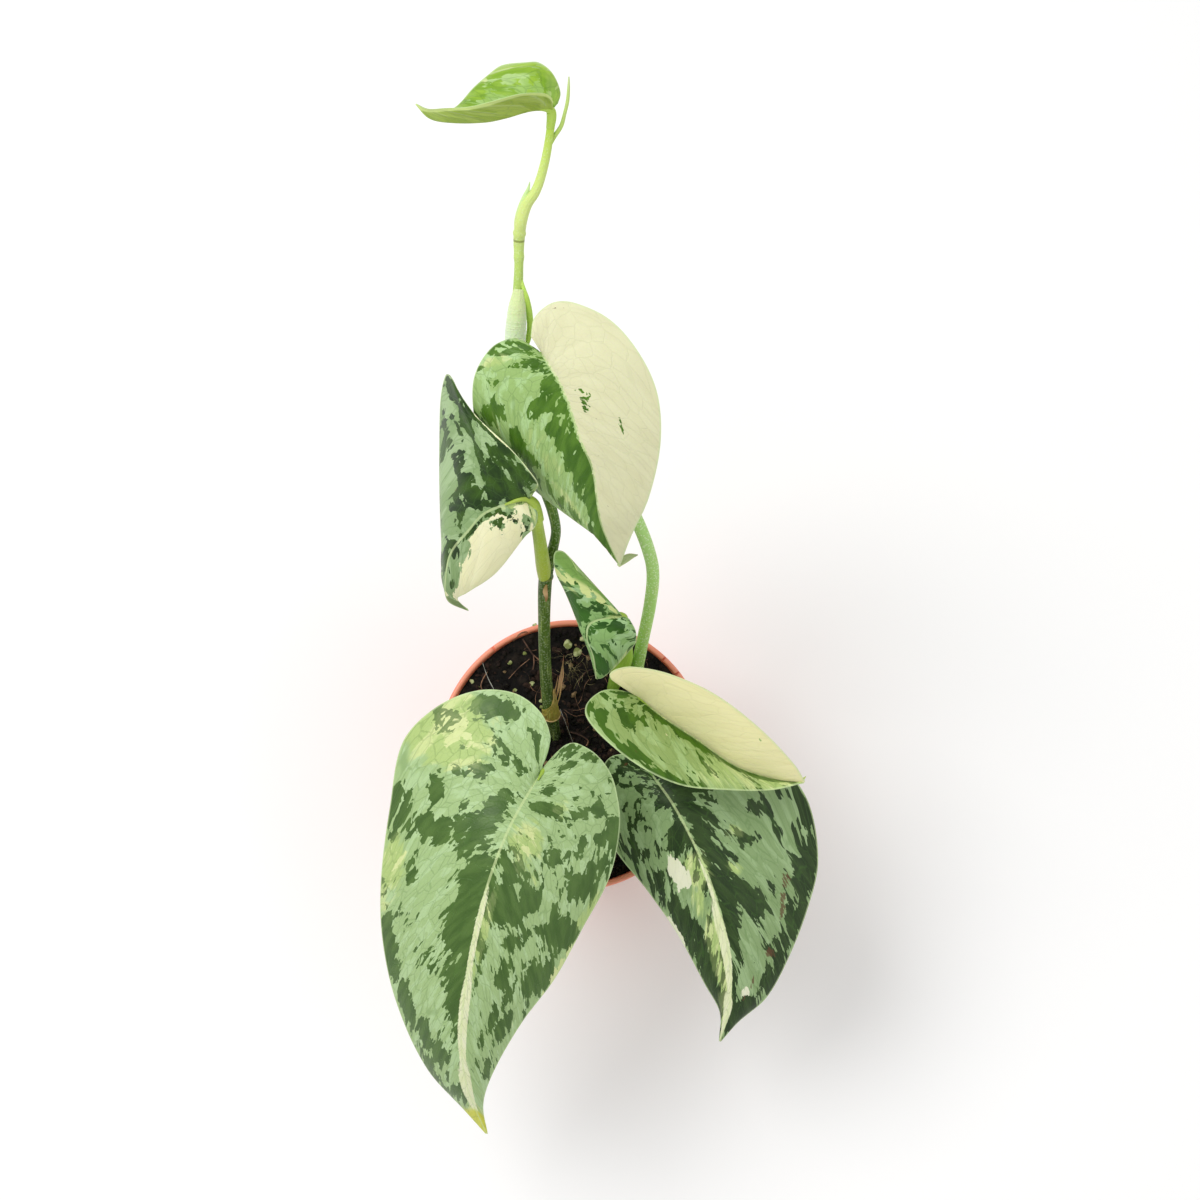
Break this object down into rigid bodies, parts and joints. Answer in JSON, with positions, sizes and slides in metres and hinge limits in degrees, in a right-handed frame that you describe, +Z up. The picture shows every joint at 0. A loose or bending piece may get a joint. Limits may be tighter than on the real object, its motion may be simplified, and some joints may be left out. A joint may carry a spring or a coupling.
{
  "type": "potted satin pothos",
  "caption": "Young satin pothos with silver-patched heart-shaped leaves, half of some cream, on a leaning vine in a round thin-walled nursery pot.",
  "frame": {"origin": "middle of the pot's base, on the surface it stands on", "axes": "+Z up along the pot's axis, -Y towards the front leaves, +Y the way the vine leans, +X to the right seen from the front"},
  "size_m": [0.1385, 0.2996, 0.2331],
  "materials": {
    "terracotta_plastic": "satin coral-red plastic",
    "peat": "dark crumbly peat",
    "leaf_green": "satin green with silvery patches",
    "leaf_cream": "satin, half cream and half silvery green",
    "young_green": "satin bright young green",
    "stem_green": "smooth olive green",
    "petiole_green": "matte pale green",
    "sheath_green": "matte pale green",
    "dried_tan": "dry papery tan"
  },
  "bodies": {
    "root": {"pot": "terracotta_plastic", "soil": "peat", "vine": "stem_green", "petiole_1": "petiole_green", "petiole_2": "petiole_green", "petiole_3": "petiole_green", "petiole_5": "petiole_green", "petiole_6": "petiole_green", "blade_1": "leaf_green", "blade_2": "leaf_green", "blade_3": "leaf_cream", "blade_4": "leaf_green", "blade_5": "leaf_cream", "blade_6": "leaf_green", "blade_7": "young_green", "pale_sheath": "sheath_green", "dried_sheath": "dried_tan"}
  },
  "joints": []
}
